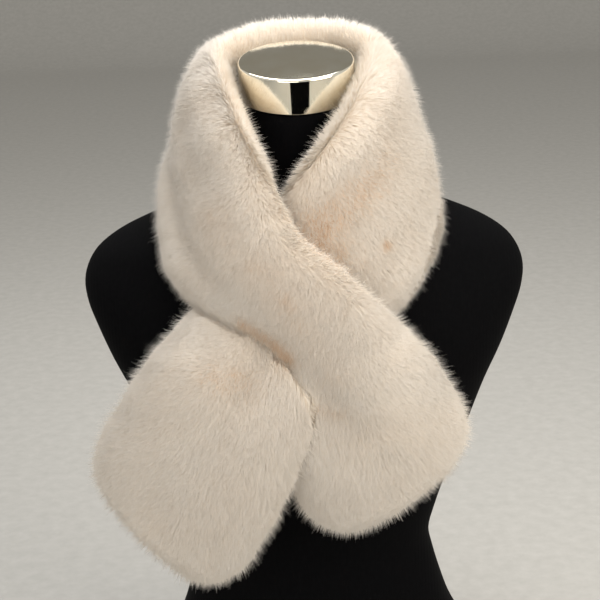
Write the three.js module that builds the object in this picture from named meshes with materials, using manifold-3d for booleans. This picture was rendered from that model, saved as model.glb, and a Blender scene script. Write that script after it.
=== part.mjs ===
// A fur collar wrap on a small, limbless dress form, in millimetres.
// +Z is up, the front faces -Y and +X is to the right as seen from the front. Left and right are always
// as seen from the front. The origin is the centre of the form's flat foot.
//
// The wrap is one long pillow of fur cloth with fur on both faces. It starts at the end of the right tail,
// crosses the chest up to the left, goes round the neck, comes down on the right, passes behind the
// crossing band and comes out through a slit in it, to hang in front as the left tail. Its widths and
// thicknesses include the pile.
import * as THREE from "three";
import Module from "manifold-3d";
import { mergeVertices } from "three/addons/utils/BufferGeometryUtils.js";

// Sizes that drive the rest
const seamGap = 0.3; // between stretches that meet, between layers that touch, and to the form
const ringPoints = 30; // corners of one section of the wrap
const ringStep = 12; // distance between sections along the wrap
const edgeSquareness = 4.2; // how full the wrap's section is at its two edges: 2 is an ellipse
const tailCorner = 48; // radius of a tail's corners, seen from the front
const cornerRings = 8; // sections round a corner
const tailEdge = 24; // how far from its end a tail starts to thin
const endThickness = 6; // what is left of its thickness at the very end
const foldWidth = 0.26; // half width of a lengthwise fold, as a share of the wrap's half width
const formPoints = 44; // corners of one section of the form
const formRingsPerRow = 2;
const capHalfWidth = 50.5;
const capHalfDepth = 52;
const capBand = 31; // height of the neck cap's upright side
const capDome = 3.5; // how far the middle of the cap's top rises above its rim
const capRim = 2.2; // radius of the cap's upper edge
const capSides = 48;
const capArcSteps = 4; // steps round the upper edge, and from there to the middle
const capLean = 11; // degrees that the cap, and the neck just under it, lean forward

// Sections of the wrap, from the end of the right tail to the end of the left one. x, y, z is the middle
// of a section. yaw and pitch, in degrees, turn its outer face: yaw 0 faces the front and 90 the right, and
// pitch lifts it. bow is how far the two edges bend back. fold is the depth of a lengthwise fold in the
// outer face, and at is its place across the width, from -1 at the edge near the neck to 1 at the other.
const wrapRows = [
  { x: 79, y: -134, z: 260, yaw: 11, pitch: -2, wide: 162, thick: 40, bow: 7, fold: 0, at: 0 },
  { x: 63, y: -137, z: 299, yaw: 9, pitch: -1, wide: 163, thick: 42, bow: 8, fold: 1, at: 0.1 },
  { x: 49, y: -139, z: 336, yaw: 7, pitch: 1, wide: 158, thick: 42, bow: 8, fold: 4, at: 0.3 },
  { x: 40, y: -141, z: 368, yaw: 5, pitch: 4, wide: 142, thick: 41, bow: 8, fold: 5, at: 0.4 },
  { x: 31, y: -142, z: 396, yaw: 3, pitch: 8, wide: 116, thick: 38, bow: 7, fold: 3, at: 0.5 },
  { x: 18, y: -141, z: 420, yaw: 0, pitch: 11, wide: 98, thick: 36, bow: 6, fold: 0, at: 0.5 },
  { x: 1, y: -139, z: 439, yaw: -3, pitch: 14, wide: 93, thick: 36, bow: 6, fold: 0, at: 0.5 },
  { x: -18, y: -135, z: 454, yaw: -7, pitch: 16, wide: 93, thick: 36, bow: 6, fold: 0, at: 0.4 },
  { x: -38, y: -127, z: 467, yaw: -14, pitch: 18, wide: 101, thick: 37, bow: 6, fold: 1, at: 0.4 },
  { x: -56, y: -115, z: 483, yaw: -24, pitch: 19, wide: 115, thick: 38, bow: 6, fold: 3, at: 0.4 },
  { x: -71, y: -98, z: 500, yaw: -37, pitch: 21, wide: 128, thick: 39, bow: 6, fold: 5, at: 0.35 },
  { x: -79, y: -75, z: 518, yaw: -52, pitch: 22, wide: 137, thick: 40, bow: 6, fold: 6, at: 0.3 },
  { x: -87, y: -46, z: 539, yaw: -69, pitch: 22, wide: 142, thick: 42, bow: 5, fold: 6, at: 0.25 },
  { x: -92, y: -13, z: 557, yaw: -87, pitch: 22, wide: 144, thick: 43, bow: 5, fold: 5, at: 0.2 },
  { x: -90, y: 21, z: 569, yaw: -107, pitch: 20, wide: 143, thick: 42, bow: 4, fold: 4, at: 0.2 },
  { x: -76, y: 52, z: 576, yaw: -129, pitch: 18, wide: 141, thick: 40, bow: 4, fold: 3, at: 0.2 },
  { x: -49, y: 77, z: 581, yaw: -153, pitch: 17, wide: 140, thick: 39, bow: 4, fold: 3, at: 0.3 },
  { x: -15, y: 88, z: 583, yaw: -174, pitch: 16, wide: 140, thick: 39, bow: 4, fold: 3, at: 0.4 },
  { x: 20, y: 88, z: 583, yaw: -192, pitch: 16, wide: 140, thick: 39, bow: 4, fold: 2, at: 0.4 },
  { x: 54, y: 75, z: 582, yaw: -212, pitch: 17, wide: 140, thick: 39, bow: 4, fold: 2, at: 0.3 },
  { x: 78, y: 47, z: 577, yaw: -235, pitch: 18, wide: 142, thick: 40, bow: 4, fold: 2, at: 0.2 },
  { x: 88, y: 15, z: 568, yaw: -258, pitch: 21, wide: 145, thick: 42, bow: 4, fold: 2, at: 0.1 },
  { x: 86, y: -20, z: 553, yaw: -280, pitch: 22, wide: 147, thick: 43, bow: 5, fold: 1, at: 0 },
  { x: 77, y: -51, z: 532, yaw: -302, pitch: 22, wide: 148, thick: 41, bow: 6, fold: 1, at: 0 },
  { x: 61, y: -74, z: 508, yaw: -322, pitch: 21, wide: 148, thick: 38, bow: 7, fold: 1, at: 0 },
  { x: 42, y: -89, z: 486, yaw: -338, pitch: 20, wide: 146, thick: 35, bow: 7, fold: 2, at: -0.1 },
  { x: 20, y: -98, z: 464, yaw: -350, pitch: 18, wide: 136, thick: 31, bow: 5, fold: 1, at: -0.2 },
  { x: -3, y: -106, z: 442, yaw: -357, pitch: 16, wide: 124, thick: 29, bow: 4, fold: 0, at: 0 },
  { x: -25, y: -118, z: 422, yaw: -361, pitch: 22, wide: 122, thick: 30, bow: 4, fold: 2, at: 0 },
  { x: -45, y: -137, z: 400, yaw: -364, pitch: 24, wide: 136, thick: 34, bow: 6, fold: 5, at: 0.1 },
  { x: -62, y: -149, z: 373, yaw: -367, pitch: 12, wide: 151, thick: 39, bow: 8, fold: 5, at: 0.1 },
  { x: -80, y: -153, z: 342, yaw: -370, pitch: 3, wide: 160, thick: 41, bow: 8, fold: 2, at: 0 },
  { x: -99, y: -153, z: 309, yaw: -372, pitch: 0, wide: 164, thick: 42, bow: 8, fold: 0, at: 0 },
  { x: -119, y: -151, z: 275, yaw: -373, pitch: -2, wide: 165, thick: 41, bow: 8, fold: 0, at: 0 },
  { x: -140, y: -148, z: 237, yaw: -374, pitch: -3, wide: 164, thick: 40, bow: 7, fold: 0, at: 0 },
];

// Where along the wrap its stretches begin and end, as row numbers of the table above. A tail's free end
// is rounded, and slanted: the edge away from the neck lies endSlant further along the wrap than the
// middle. pressedBy names what presses on the stretch: soft fur gives way there.
const overBoth = ["crossing_band", "left_collar"];
const stretches = [
  { name: "right_tail", from: 0, to: 4.2, roundStart: true, endSlant: -8, pressedBy: ["left_tail"] },
  { name: "crossing_band", from: 4.2, to: 8.6, pressedBy: [] },
  { name: "left_collar", from: 8.6, to: 14.4, pressedBy: [] },
  { name: "neck_back", from: 14.4, to: 20.6, pressedBy: [] },
  { name: "right_collar", from: 20.6, to: 27.4, pressedBy: [...overBoth, "right_tail"] },
  { name: "left_tail", from: 27.4, to: 34, roundEnd: true, endSlant: 16, pressedBy: overBoth },
];

// The strip of the wrap that lies below the slit, behind the left tail
const strapRows = [
  { x: -74, y: -98, z: 438, yaw: -30, pitch: 16, wide: 30, thick: 21, bow: 2, fold: 0, at: 0 },
  { x: -63, y: -106, z: 419, yaw: -23, pitch: 15, wide: 38, thick: 21, bow: 2, fold: 0, at: 0 },
  { x: -47, y: -114, z: 397, yaw: -15, pitch: 12, wide: 44, thick: 21, bow: 2, fold: 0, at: 0 },
  { x: -27, y: -121, z: 374, yaw: -8, pitch: 8, wide: 48, thick: 21, bow: 2, fold: 0, at: 0 },
  { x: -8, y: -127, z: 352, yaw: -2, pitch: 4, wide: 50, thick: 22, bow: 2, fold: 0, at: 0 },
];

// Level sections of the form: half its width, how far its front and back reach, how square the section
// is, and how far it leans forward
const formRows = [
  { z: 0, wide: 141, front: -98, back: 98, square: 2.3, lean: 0 },
  { z: 20, wide: 148, front: -103, back: 105, square: 2.3, lean: 0 },
  { z: 55, wide: 148, front: -104, back: 106, square: 2.3, lean: 0 },
  { z: 92, wide: 132, front: -95, back: 96, square: 2.3, lean: 0 },
  { z: 120, wide: 123, front: -89, back: 84, square: 2.3, lean: 0 },
  { z: 150, wide: 115, front: -84, back: 72, square: 2.3, lean: 0 },
  { z: 179, wide: 110, front: -82, back: 65, square: 2.3, lean: 0 },
  { z: 210, wide: 117, front: -88, back: 64, square: 2.3, lean: 0 },
  { z: 242, wide: 127, front: -98, back: 68, square: 2.3, lean: 0 },
  { z: 275, wide: 139, front: -108, back: 74, square: 2.35, lean: 0 },
  { z: 310, wide: 151, front: -116, back: 81, square: 2.4, lean: 0 },
  { z: 340, wide: 163, front: -118, back: 87, square: 2.4, lean: 0 },
  { z: 368, wide: 177, front: -114, back: 91, square: 2.4, lean: 0 },
  { z: 396, wide: 189, front: -106, back: 93, square: 2.4, lean: 0 },
  { z: 418, wide: 197, front: -98, back: 92, square: 2.35, lean: 0 },
  { z: 436, wide: 199, front: -91, back: 89, square: 2.25, lean: 0 },
  { z: 452, wide: 194, front: -85, back: 85, square: 2.15, lean: 0 },
  { z: 466, wide: 183, front: -80, back: 81, square: 2.1, lean: 0 },
  { z: 480, wide: 162, front: -75, back: 77, square: 2.0, lean: 0 },
  { z: 493, wide: 131, front: -70, back: 72, square: 2.0, lean: 1 },
  { z: 506, wide: 99, front: -65, back: 67, square: 2.0, lean: 2 },
  { z: 520, wide: 74, front: -61, back: 60, square: 2.0, lean: 4 },
  { z: 537, wide: 60, front: -58, back: 53, square: 2.0, lean: 6 },
  { z: 560, wide: 52, front: -58, back: 46, square: 2.0, lean: 9 },
  { z: 597, wide: 48.5, front: -60, back: 40, square: 2.0, lean: 11 },
];

const wasm = await Module();
wasm.setup();

// The value of each column at row number t: a smooth curve through the rows of a table
function rowAt(rows, t) {
  const last = rows.length - 1;
  const i = Math.min(Math.max(Math.floor(t), 0), last - 1);
  const f = t - i;
  const row = {};
  for (const column of Object.keys(rows[0])) {
    const here = rows[i][column];
    const next = rows[i + 1][column];
    const before = i > 0 ? rows[i - 1][column] : 2 * here - next;
    const after = i + 2 <= last ? rows[i + 2][column] : 2 * next - here;
    const slopeHere = (next - before) / 2;
    const slopeNext = (after - here) / 2;
    const turn = 2 * (here - next) + slopeHere + slopeNext;
    const rise = 3 * (next - here) - 2 * slopeHere - slopeNext;
    row[column] = here + f * (slopeHere + f * (rise + f * turn));
  }
  return row;
}

// A section's middle and its three directions: along the wrap, out of its outer face, and across it to
// the edge that lies away from the neck
function sectionFrame(rows, t) {
  const row = rowAt(rows, t);
  const step = 0.02;
  const before = rowAt(rows, t - step);
  const after = rowAt(rows, t + step);
  const along = new THREE.Vector3(after.x - before.x, after.y - before.y, after.z - before.z).normalize();
  const yaw = THREE.MathUtils.degToRad(row.yaw);
  const pitch = THREE.MathUtils.degToRad(row.pitch);
  const out = new THREE.Vector3(Math.sin(yaw), -Math.cos(yaw), 0);
  out.multiplyScalar(Math.cos(pitch));
  out.z = Math.sin(pitch);
  out.addScaledVector(along, -out.dot(along)).normalize();
  const across = new THREE.Vector3().crossVectors(out, along);
  const middle = new THREE.Vector3(row.x, row.y, row.z);
  return { row, along, out, across, middle };
}

// One section of the wrap as a ring of points. toEnd is the distance left to a tail's free end, where the
// section narrows round the corner and thins. slant leans the section along the wrap, and grow makes it
// larger all round.
function wrapRing(rows, t, { toEnd, slant, grow }) {
  const { row, along, out, across, middle } = sectionFrame(rows, t);
  const corner = Math.max(0, 1 - toEnd / tailCorner);
  const edge = Math.max(0, 1 - toEnd / tailEdge);
  const halfWidth = row.wide / 2 - tailCorner * (1 - Math.sqrt(1 - corner * corner)) + grow;
  const thickness = Math.max(endThickness, row.thick * Math.sqrt(1 - edge * edge));
  const ring = [];
  for (let i = 0; i < ringPoints; i++) {
    const turn = (2 * Math.PI * i) / ringPoints;
    const w = Math.sign(Math.cos(turn)) * Math.abs(Math.cos(turn)) ** (2 / edgeSquareness);
    const fold = turn < Math.PI ? row.fold * Math.exp(-(((w - row.at) / foldWidth) ** 2)) : 0;
    const height = Math.sin(turn) * (thickness / 2 + grow) - row.bow * w * w - fold;
    const point = middle.clone();
    point.addScaledVector(across, w * halfWidth);
    point.addScaledVector(out, height);
    point.addScaledVector(along, slant * w);
    ring.push(point);
  }
  return ring;
}

// A closed geometry through a list of rings, with a fan of triangles over each end
function loft(rings) {
  const count = rings[0].length;
  const points = rings.flat();
  const faces = [];
  for (let i = 0; i + 1 < rings.length; i++) {
    for (let k = 0; k < count; k++) {
      const a = i * count + k;
      const b = i * count + ((k + 1) % count);
      faces.push(a, b, b + count);
      faces.push(a, b + count, a + count);
    }
  }
  for (const ring of [rings[0], rings.at(-1)]) {
    const hub = points.length;
    const first = ring === rings[0] ? 0 : (rings.length - 1) * count;
    for (let k = 0; k < count; k++) {
      const a = first + k;
      const b = first + ((k + 1) % count);
      if (first === 0) faces.push(hub, b, a);
      else faces.push(hub, a, b);
    }
    const sum = new THREE.Vector3();
    for (const point of ring) sum.add(point);
    points.push(sum.divideScalar(count));
  }
  const geometry = new THREE.BufferGeometry().setFromPoints(points);
  geometry.setIndex(faces);
  return geometry;
}

// A closed geometry as a solid that can be cut
function solidOf(geometry) {
  const bare = geometry.clone();
  bare.deleteAttribute("normal");
  bare.deleteAttribute("uv");
  const merged = mergeVertices(bare, 1e-4);
  return new wasm.Manifold(new wasm.Mesh({
    numProp: 3,
    vertProperties: new Float32Array(merged.attributes.position.array),
    triVerts: new Uint32Array(merged.index.array),
  }));
}

// The largest piece of a cut solid, as a geometry
function geometryOf(solid) {
  const largest = solid.decompose().sort((a, b) => b.volume() - a.volume())[0];
  const mesh = largest.getMesh();
  const geometry = new THREE.BufferGeometry();
  geometry.setAttribute("position", new THREE.BufferAttribute(new Float32Array(mesh.vertProperties), 3));
  geometry.setIndex(new THREE.BufferAttribute(new Uint32Array(mesh.triVerts), 1));
  return geometry;
}

// Distance along a table's curve from one row number to another
function distance(rows, from, to) {
  const steps = 60;
  let total = 0;
  let last = sectionFrame(rows, from).middle;
  for (let i = 1; i <= steps; i++) {
    const next = sectionFrame(rows, from + ((to - from) * i) / steps).middle;
    total += next.distanceTo(last);
    last = next;
  }
  return total;
}

// Distances from a stretch's start at which its sections stand: ringStep apart, and closer round the
// corners of a tail. The stretch stops half a gap short of its neighbours.
function sectionPlaces(length, roundStart, roundEnd, grow) {
  const cut = seamGap / 2 - grow;
  const plainFrom = roundStart ? tailCorner : cut;
  const plainTo = length - (roundEnd ? tailCorner : cut);
  const steps = Math.ceil((plainTo - plainFrom) / ringStep);
  const places = [];
  for (let i = 0; i <= steps; i++) places.push(plainFrom + ((plainTo - plainFrom) * i) / steps);
  for (let i = 1; i <= cornerRings; i++) {
    const toEnd = tailCorner * (1 - Math.sin((Math.PI / 2) * (i / cornerRings)));
    if (roundStart) places.unshift(toEnd);
    if (roundEnd) places.push(length - toEnd);
  }
  return places;
}

// A stretch of a table's curve as a solid
function stretchSolid(rows, { from, to, roundStart = false, roundEnd = false, endSlant = 0 }, grow) {
  const length = distance(rows, from, to);
  const rings = [];
  for (const place of sectionPlaces(length, roundStart, roundEnd, grow)) {
    const toStart = roundStart ? place : Infinity;
    const toFinish = roundEnd ? length - place : Infinity;
    const t = from + ((to - from) * place) / length;
    const slant = endSlant * (roundStart ? 1 - place / length : place / length);
    rings.push(wrapRing(rows, t, { toEnd: Math.min(toStart, toFinish), slant, grow }));
  }
  return solidOf(loft(rings));
}

// One level section of the form, as a ring of points
function formRing(t, grow) {
  const row = rowAt(formRows, t);
  const middle = (row.front + row.back) / 2;
  const halfDepth = (row.back - row.front) / 2 + grow;
  const lean = THREE.MathUtils.degToRad(row.lean);
  const ring = [];
  for (let i = 0; i < formPoints; i++) {
    const turn = (2 * Math.PI * i) / formPoints;
    const c = Math.cos(turn);
    const s = Math.sin(turn);
    const x = Math.sign(c) * Math.abs(c) ** (2 / row.square) * (row.wide + grow);
    const y = Math.sign(s) * Math.abs(s) ** (2 / row.square) * halfDepth;
    ring.push(new THREE.Vector3(x, middle + y * Math.cos(lean), row.z + grow + y * Math.sin(lean)));
  }
  return ring;
}

function formSolid(grow) {
  const rings = [];
  for (let i = 0; i <= (formRows.length - 1) * formRingsPerRow; i++) {
    rings.push(formRing(i / formRingsPerRow, grow));
  }
  return solidOf(loft(rings));
}

// The neck cap: a turned profile whose radius counts in shares of its half width, made oval and leaned
function capSolid(grow) {
  const rim = capRim / capHalfWidth;
  const profile = [new THREE.Vector2(0, 0), new THREE.Vector2(1, 0)];
  for (let i = 0; i <= capArcSteps; i++) {
    const turn = (Math.PI / 2) * (i / capArcSteps);
    const radius = 1 - rim * (1 - Math.cos(turn));
    profile.push(new THREE.Vector2(radius, capBand - capRim * (1 - Math.sin(turn))));
  }
  for (let i = 1; i <= capArcSteps; i++) {
    const share = 1 - i / capArcSteps;
    profile.push(new THREE.Vector2((1 - rim) * share, capBand + capDome * (1 - share * share)));
  }
  const geometry = new THREE.LatheGeometry(profile, capSides);
  geometry.rotateX(Math.PI / 2);
  geometry.scale(capHalfWidth + grow, capHalfDepth + grow, 1);
  geometry.rotateX(THREE.MathUtils.degToRad(capLean));
  const neck = formRows.at(-1);
  geometry.translate(0, (neck.front + neck.back) / 2, neck.z + seamGap);
  return solidOf(geometry);
}

const furCloth = new THREE.MeshStandardMaterial({ color: 0xd6c7b5, roughness: 0.9, metalness: 0 });
const blackJersey = new THREE.MeshStandardMaterial({ color: 0x121214, roughness: 0.85, metalness: 0 });
const paleGold = new THREE.MeshStandardMaterial({ color: 0xc9bfa8, roughness: 0.15, metalness: 1 });

const part = new THREE.Group();

function addPiece(name, geometry, material) {
  const mesh = new THREE.Mesh(geometry, material);
  mesh.name = name;
  part.add(mesh);
}

addPiece("form_body", geometryOf(formSolid(0)), blackJersey);
addPiece("neck_cap", geometryOf(capSolid(0)), paleGold);

// Each stretch a gap larger all round, to cut what it presses on. The form presses on all of them.
const grown = {};
for (const stretch of stretches) grown[stretch.name] = stretchSolid(wrapRows, stretch, seamGap);
const hardParts = [formSolid(seamGap), capSolid(seamGap)];

function pressedPiece(solid, presses) {
  let pressed = solid;
  for (const other of presses) pressed = pressed.subtract(other);
  return geometryOf(pressed);
}

for (const stretch of stretches) {
  const presses = stretch.pressedBy.map((name) => grown[name]);
  const solid = stretchSolid(wrapRows, stretch, 0);
  addPiece(stretch.name, pressedPiece(solid, [...hardParts, ...presses]), furCloth);
}
const strap = stretchSolid(strapRows, { from: 0, to: strapRows.length - 1 }, 0);
addPiece("slit_strap", pressedPiece(strap, [...hardParts, ...Object.values(grown)]), furCloth);

export default part;
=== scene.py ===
import bpy
import numpy as np
from mathutils import Matrix


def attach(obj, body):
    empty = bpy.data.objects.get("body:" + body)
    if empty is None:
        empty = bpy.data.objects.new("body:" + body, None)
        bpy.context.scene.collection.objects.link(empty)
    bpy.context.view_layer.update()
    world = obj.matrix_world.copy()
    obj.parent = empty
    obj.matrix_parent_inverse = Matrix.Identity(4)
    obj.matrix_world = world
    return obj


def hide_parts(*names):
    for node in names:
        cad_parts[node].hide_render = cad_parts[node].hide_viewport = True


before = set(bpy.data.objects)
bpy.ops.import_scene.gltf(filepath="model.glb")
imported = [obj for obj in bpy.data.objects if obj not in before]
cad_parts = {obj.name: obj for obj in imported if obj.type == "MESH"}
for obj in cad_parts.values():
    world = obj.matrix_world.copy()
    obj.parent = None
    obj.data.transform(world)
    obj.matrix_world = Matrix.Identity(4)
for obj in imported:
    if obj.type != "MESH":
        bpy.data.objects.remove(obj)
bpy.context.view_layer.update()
print("frame loaded:", len(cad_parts), "solids")

millimetre = 0.001

# Camera first: the photograph's own viewpoint
view = {
    "target": (0, -30, 405),
    "elevation": 18,
    "distance": 1300,
    "roll": -2.2,  # the camera was held slightly askew
    "lens": 86.64,
    "shift": (-5.5 / 600, 10 / 600),  # the photograph's frame is 600 by 600
}


def addCamera(sizes):
    # Stands at distance from the target, elevation degrees up, looking along +Y and down at it
    up = np.radians(sizes["elevation"])
    roll = np.radians(sizes["roll"])
    back = np.array([0, -np.cos(up), np.sin(up)])
    right = np.array([1.0, 0, 0])
    top = np.cross(back, right)
    rolledRight = right * np.cos(roll) + top * np.sin(roll)
    rolledTop = top * np.cos(roll) - right * np.sin(roll)
    place = (np.array(sizes["target"]) + back * sizes["distance"]) * millimetre
    matrix = np.eye(4)
    matrix[:3, :4] = np.stack([rolledRight, rolledTop, back, place], axis=1)
    data = bpy.data.cameras.new("photographView")
    data.lens = sizes["lens"]
    data.sensor_width = 36
    data.shift_x, data.shift_y = sizes["shift"]
    data.clip_end = 20
    camera = bpy.data.objects.new("photographView", data)
    camera.matrix_world = Matrix(matrix.tolist())
    bpy.context.scene.collection.objects.link(camera)
    bpy.context.scene.camera = camera


addCamera(view)
print("camera placed")


def hexColour(code):
    # sRGB hex to the linear values that shader sockets take
    srgb = np.array([int(code[i : i + 2], 16) for i in (1, 3, 5)]) / 255
    linear = np.where(srgb <= 0.04045, srgb / 12.92, ((srgb + 0.055) / 1.055) ** 2.4)
    return (*linear.tolist(), 1.0)


def newMaterial(name):
    material = bpy.data.materials.new(name)
    material.use_nodes = True
    material.node_tree.nodes.clear()
    return material, material.node_tree


def addNode(tree, kind, values=None, links=None, stops=(), **settings):
    # Adds one node with its settings, its sockets' values and the links that come into it
    made = tree.nodes.new(kind)
    for name, value in settings.items():
        setattr(made, name, value)
    for name, value in (values or {}).items():
        made.inputs[name].default_value = value
    for name, source in (links or {}).items():
        tree.links.new(source, made.inputs[name])
    for number, (place, colour) in enumerate(stops):
        elements = made.color_ramp.elements
        stop = elements[number] if number < 2 else elements.new(place)
        stop.position = place
        stop.color = hexColour(colour)
    return made


def unit(vectors):
    return vectors / np.maximum(np.linalg.norm(vectors, axis=-1, keepdims=True), 1e-9)


def dot(a, b):
    return np.sum(a * b, axis=-1, keepdims=True)


def addMesh(name, points, faceSets, material, uv=None, normals=None):
    # points in millimetres; each face set is an array with one row of corner numbers for each face
    corners = np.concatenate([faces.ravel() for faces in faceSets]).astype(np.int32)
    perFace = np.concatenate([np.full(len(faces), faces.shape[1]) for faces in faceSets])
    mesh = bpy.data.meshes.new(name)
    mesh.vertices.add(len(points))
    mesh.vertices.foreach_set("co", (points * millimetre).astype(np.float32).ravel())
    mesh.loops.add(len(corners))
    mesh.loops.foreach_set("vertex_index", corners)
    mesh.polygons.add(len(perFace))
    mesh.polygons.foreach_set("loop_start", (np.cumsum(perFace) - perFace).astype(np.int32))
    mesh.polygons.foreach_set("use_smooth", np.ones(len(perFace), dtype=bool))
    if uv is not None:
        layer = mesh.uv_layers.new(name="OFBake")
        layer.data.foreach_set("uv", uv[corners].astype(np.float32).ravel())
    mesh.update(calc_edges=True)
    mesh.validate()
    if normals is not None:
        mesh.normals_split_custom_set_from_vertices(normals)
    mesh.materials.append(material)
    piece = bpy.data.objects.new(name, mesh)
    bpy.context.scene.collection.objects.link(piece)
    return piece


def addTube(name, rings, material, closeStart, closeEnd):
    # Rings of points, each closed on itself, joined by quads. A closed end gets a fan about its middle.
    count, around = rings.shape[:2]
    ring, corner = np.meshgrid(np.arange(count - 1), np.arange(around), indexing="ij")
    here = ring * around + corner
    beside = ring * around + (corner + 1) % around
    faceSets = [np.stack([here, beside, beside + around, here + around], axis=-1).reshape(-1, 4)]
    points = rings.reshape(-1, 3)
    edge = np.arange(around)
    for closed, first, turned in ((closeStart, 0, True), (closeEnd, (count - 1) * around, False)):
        if not closed:
            continue
        hub = np.full(around, len(points))
        sides = [first + edge, first + (edge + 1) % around]
        faceSets.append(np.stack([hub, *(sides[::-1] if turned else sides)], axis=-1))
        points = np.concatenate([points, points[first : first + around].mean(axis=0, keepdims=True)])
    return addMesh(name, points, faceSets, material)


# Sections of the wrap, from the end of the right tail to the end of the left one. x, y, z is the middle of
# a section, yaw and pitch turn its outer face, bow bends its edges back, fold is the depth of a lengthwise
# fold in the outer face, and at its place from -1 at the edge near the neck to 1 at the other.
wrap = {
    "columns": ("x", "y", "z", "yaw", "pitch", "wide", "thick", "bow", "fold", "at"),
    "rows": np.array([
        (79, -134, 260, 11, -2, 162, 40, 7, 0, 0),
        (63, -137, 299, 9, -1, 163, 42, 8, 1, 0.1),
        (49, -139, 336, 7, 1, 158, 42, 8, 4, 0.3),
        (40, -141, 368, 5, 4, 142, 41, 8, 5, 0.4),
        (31, -142, 396, 3, 8, 116, 38, 7, 3, 0.5),
        (18, -141, 420, 0, 11, 98, 36, 6, 0, 0.5),
        (1, -139, 439, -3, 14, 93, 36, 6, 0, 0.5),
        (-18, -135, 454, -7, 16, 93, 36, 6, 0, 0.4),
        (-38, -127, 467, -14, 18, 101, 37, 6, 1, 0.4),
        (-56, -115, 483, -24, 19, 115, 38, 6, 3, 0.4),
        (-71, -98, 500, -37, 21, 128, 39, 6, 5, 0.35),
        (-79, -75, 518, -52, 22, 137, 40, 6, 6, 0.3),
        (-87, -46, 539, -69, 22, 142, 42, 5, 6, 0.25),
        (-92, -13, 557, -87, 22, 144, 43, 5, 5, 0.2),
        (-90, 21, 569, -107, 20, 143, 42, 4, 4, 0.2),
        (-76, 52, 576, -129, 18, 141, 40, 4, 3, 0.2),
        (-49, 77, 581, -153, 17, 140, 39, 4, 3, 0.3),
        (-15, 88, 583, -174, 16, 140, 39, 4, 3, 0.4),
        (20, 88, 583, -192, 16, 140, 39, 4, 2, 0.4),
        (54, 75, 582, -212, 17, 140, 39, 4, 2, 0.3),
        (78, 47, 577, -235, 18, 142, 40, 4, 2, 0.2),
        (88, 15, 568, -258, 21, 145, 42, 4, 2, 0.1),
        (86, -20, 553, -280, 22, 147, 43, 5, 1, 0),
        (77, -51, 532, -302, 22, 148, 41, 6, 1, 0),
        (61, -74, 508, -322, 21, 148, 38, 7, 1, 0),
        (42, -89, 486, -338, 20, 146, 35, 7, 2, -0.1),
        (20, -98, 464, -350, 18, 136, 31, 5, 1, -0.2),
        (-3, -106, 442, -357, 16, 124, 29, 4, 0, 0),
        (-25, -118, 422, -361, 22, 122, 30, 4, 2, 0),
        (-45, -137, 400, -364, 24, 136, 34, 6, 5, 0.1),
        (-62, -149, 373, -367, 12, 151, 39, 8, 5, 0.1),
        (-80, -153, 342, -370, 3, 160, 41, 8, 2, 0),
        (-99, -153, 309, -372, 0, 164, 42, 8, 0, 0),
        (-119, -151, 275, -373, -2, 165, 41, 8, 0, 0),
        (-140, -148, 237, -374, -3, 164, 40, 7, 0, 0),
    ], dtype=float),
}

# The strip of the wrap below the slit, behind the left tail
strap = {
    "columns": wrap["columns"],
    "rows": np.array([
        (-74, -98, 438, -30, 16, 30, 21, 2, 0, 0),
        (-63, -106, 419, -23, 15, 38, 21, 2, 0, 0),
        (-47, -114, 397, -15, 12, 44, 21, 2, 0, 0),
        (-27, -121, 374, -8, 8, 48, 21, 2, 0, 0),
        (-8, -127, 352, -2, 4, 50, 22, 2, 0, 0),
    ], dtype=float),
}

# The cloth under the pile, and how a section of it is drawn
cloth = {
    "squareness": 4.2,  # how full a section is at its two edges: 2 is an ellipse
    "foldWidth": 0.26,  # half width of a lengthwise fold, as a share of the wrap's half width
    "insetFace": 7.5,  # how far the cloth lies below the tips of the pile, on its faces
    "insetEdge": 8.5,  # and at its edges and free ends
    "corner": 40,  # radius of a tail's corners
    "endEdge": 16,  # how far from its end a tail starts to thin
    "endThickness": 3.4,
    "wall": 1.4,  # thickness of the knitted backing
    "overForm": 1.2,  # where it rests on the form, it lies this far off it
    "seamGap": 0.15,  # each stretch stops this short of the seam
    "around": 56,
    "step": 5,  # distance between rings
}


def valuesAt(table, t):
    # A Catmull-Rom curve through the rows of each column, read at the row numbers t
    rows = table["rows"]
    last = len(rows) - 1
    i = np.clip(np.floor(t).astype(int), 0, last - 1)
    f = (t - i)[..., None]
    here, after = rows[i], rows[i + 1]
    before = np.where((i > 0)[..., None], rows[np.maximum(i - 1, 0)], 2 * here - after)
    beyond = np.where((i < last - 1)[..., None], rows[np.minimum(i + 2, last)], 2 * after - here)
    slopeHere, slopeAfter = (after - before) / 2, (beyond - here) / 2
    turn = 2 * (here - after) + slopeHere + slopeAfter
    rise = 3 * (after - here) - 2 * slopeHere - slopeAfter
    value = here + f * (slopeHere + f * (rise + f * turn))
    return dict(zip(table["columns"], np.moveaxis(value, -1, 0)))


def framesAt(table, t):
    # A section's middle and its directions: along is the curve's tangent, out is the way that yaw and
    # pitch turn the face, made square to along, and across points to the edge away from the neck
    row, before, after = (valuesAt(table, t + step) for step in (0, -0.02, 0.02))
    along = unit(np.stack([after[axis] - before[axis] for axis in "xyz"], axis=-1))
    yaw, pitch = np.radians(row["yaw"]), np.radians(row["pitch"])
    out = np.stack([np.sin(yaw) * np.cos(pitch), -np.cos(yaw) * np.cos(pitch), np.sin(pitch)], axis=-1)
    out = unit(out - along * dot(out, along))
    middle = np.stack([row[axis] for axis in "xyz"], axis=-1)
    return row, along, out, np.cross(out, along), middle


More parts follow.
